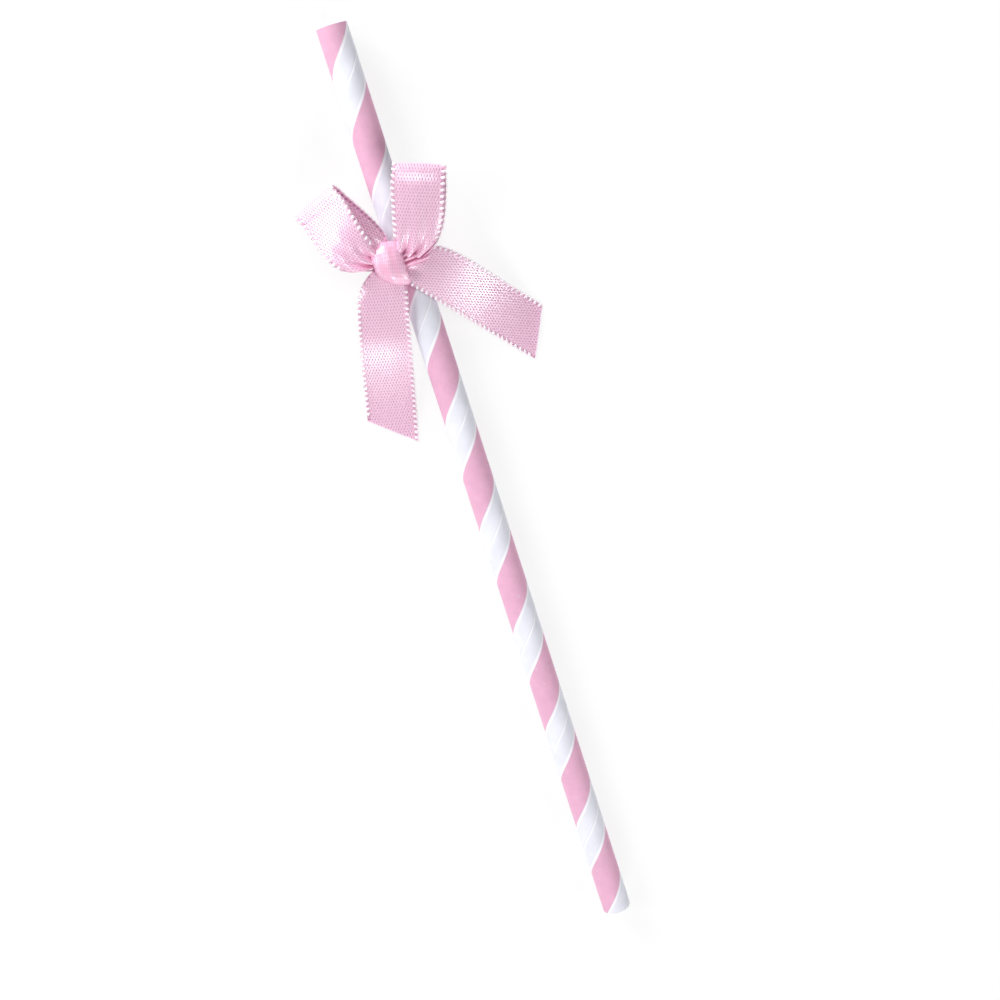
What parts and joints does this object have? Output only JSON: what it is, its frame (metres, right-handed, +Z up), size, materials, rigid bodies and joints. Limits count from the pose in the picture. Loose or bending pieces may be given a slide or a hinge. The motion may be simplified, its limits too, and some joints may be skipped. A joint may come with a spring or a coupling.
{
  "type": "paper drinking straw",
  "caption": "Paper drinking straw with a helical stripe, and a satin ribbon bow tied round it near the drinking end.",
  "frame": {"origin": "middle of the lower mouth, on the straw's axis", "axes": "+Y along the straw towards the drinking end, +Z up, out of the front of the bow, which lies on top"},
  "size_m": [0.0421, 0.197, 0.014],
  "materials": {
    "straw_paper": "uncoated, white with a pink helical stripe",
    "satin_ribbon": "satin with picot edges"
  },
  "bodies": {
    "root": {"straw_tube": "straw_paper", "ribbon_bow": "satin_ribbon"}
  },
  "joints": []
}
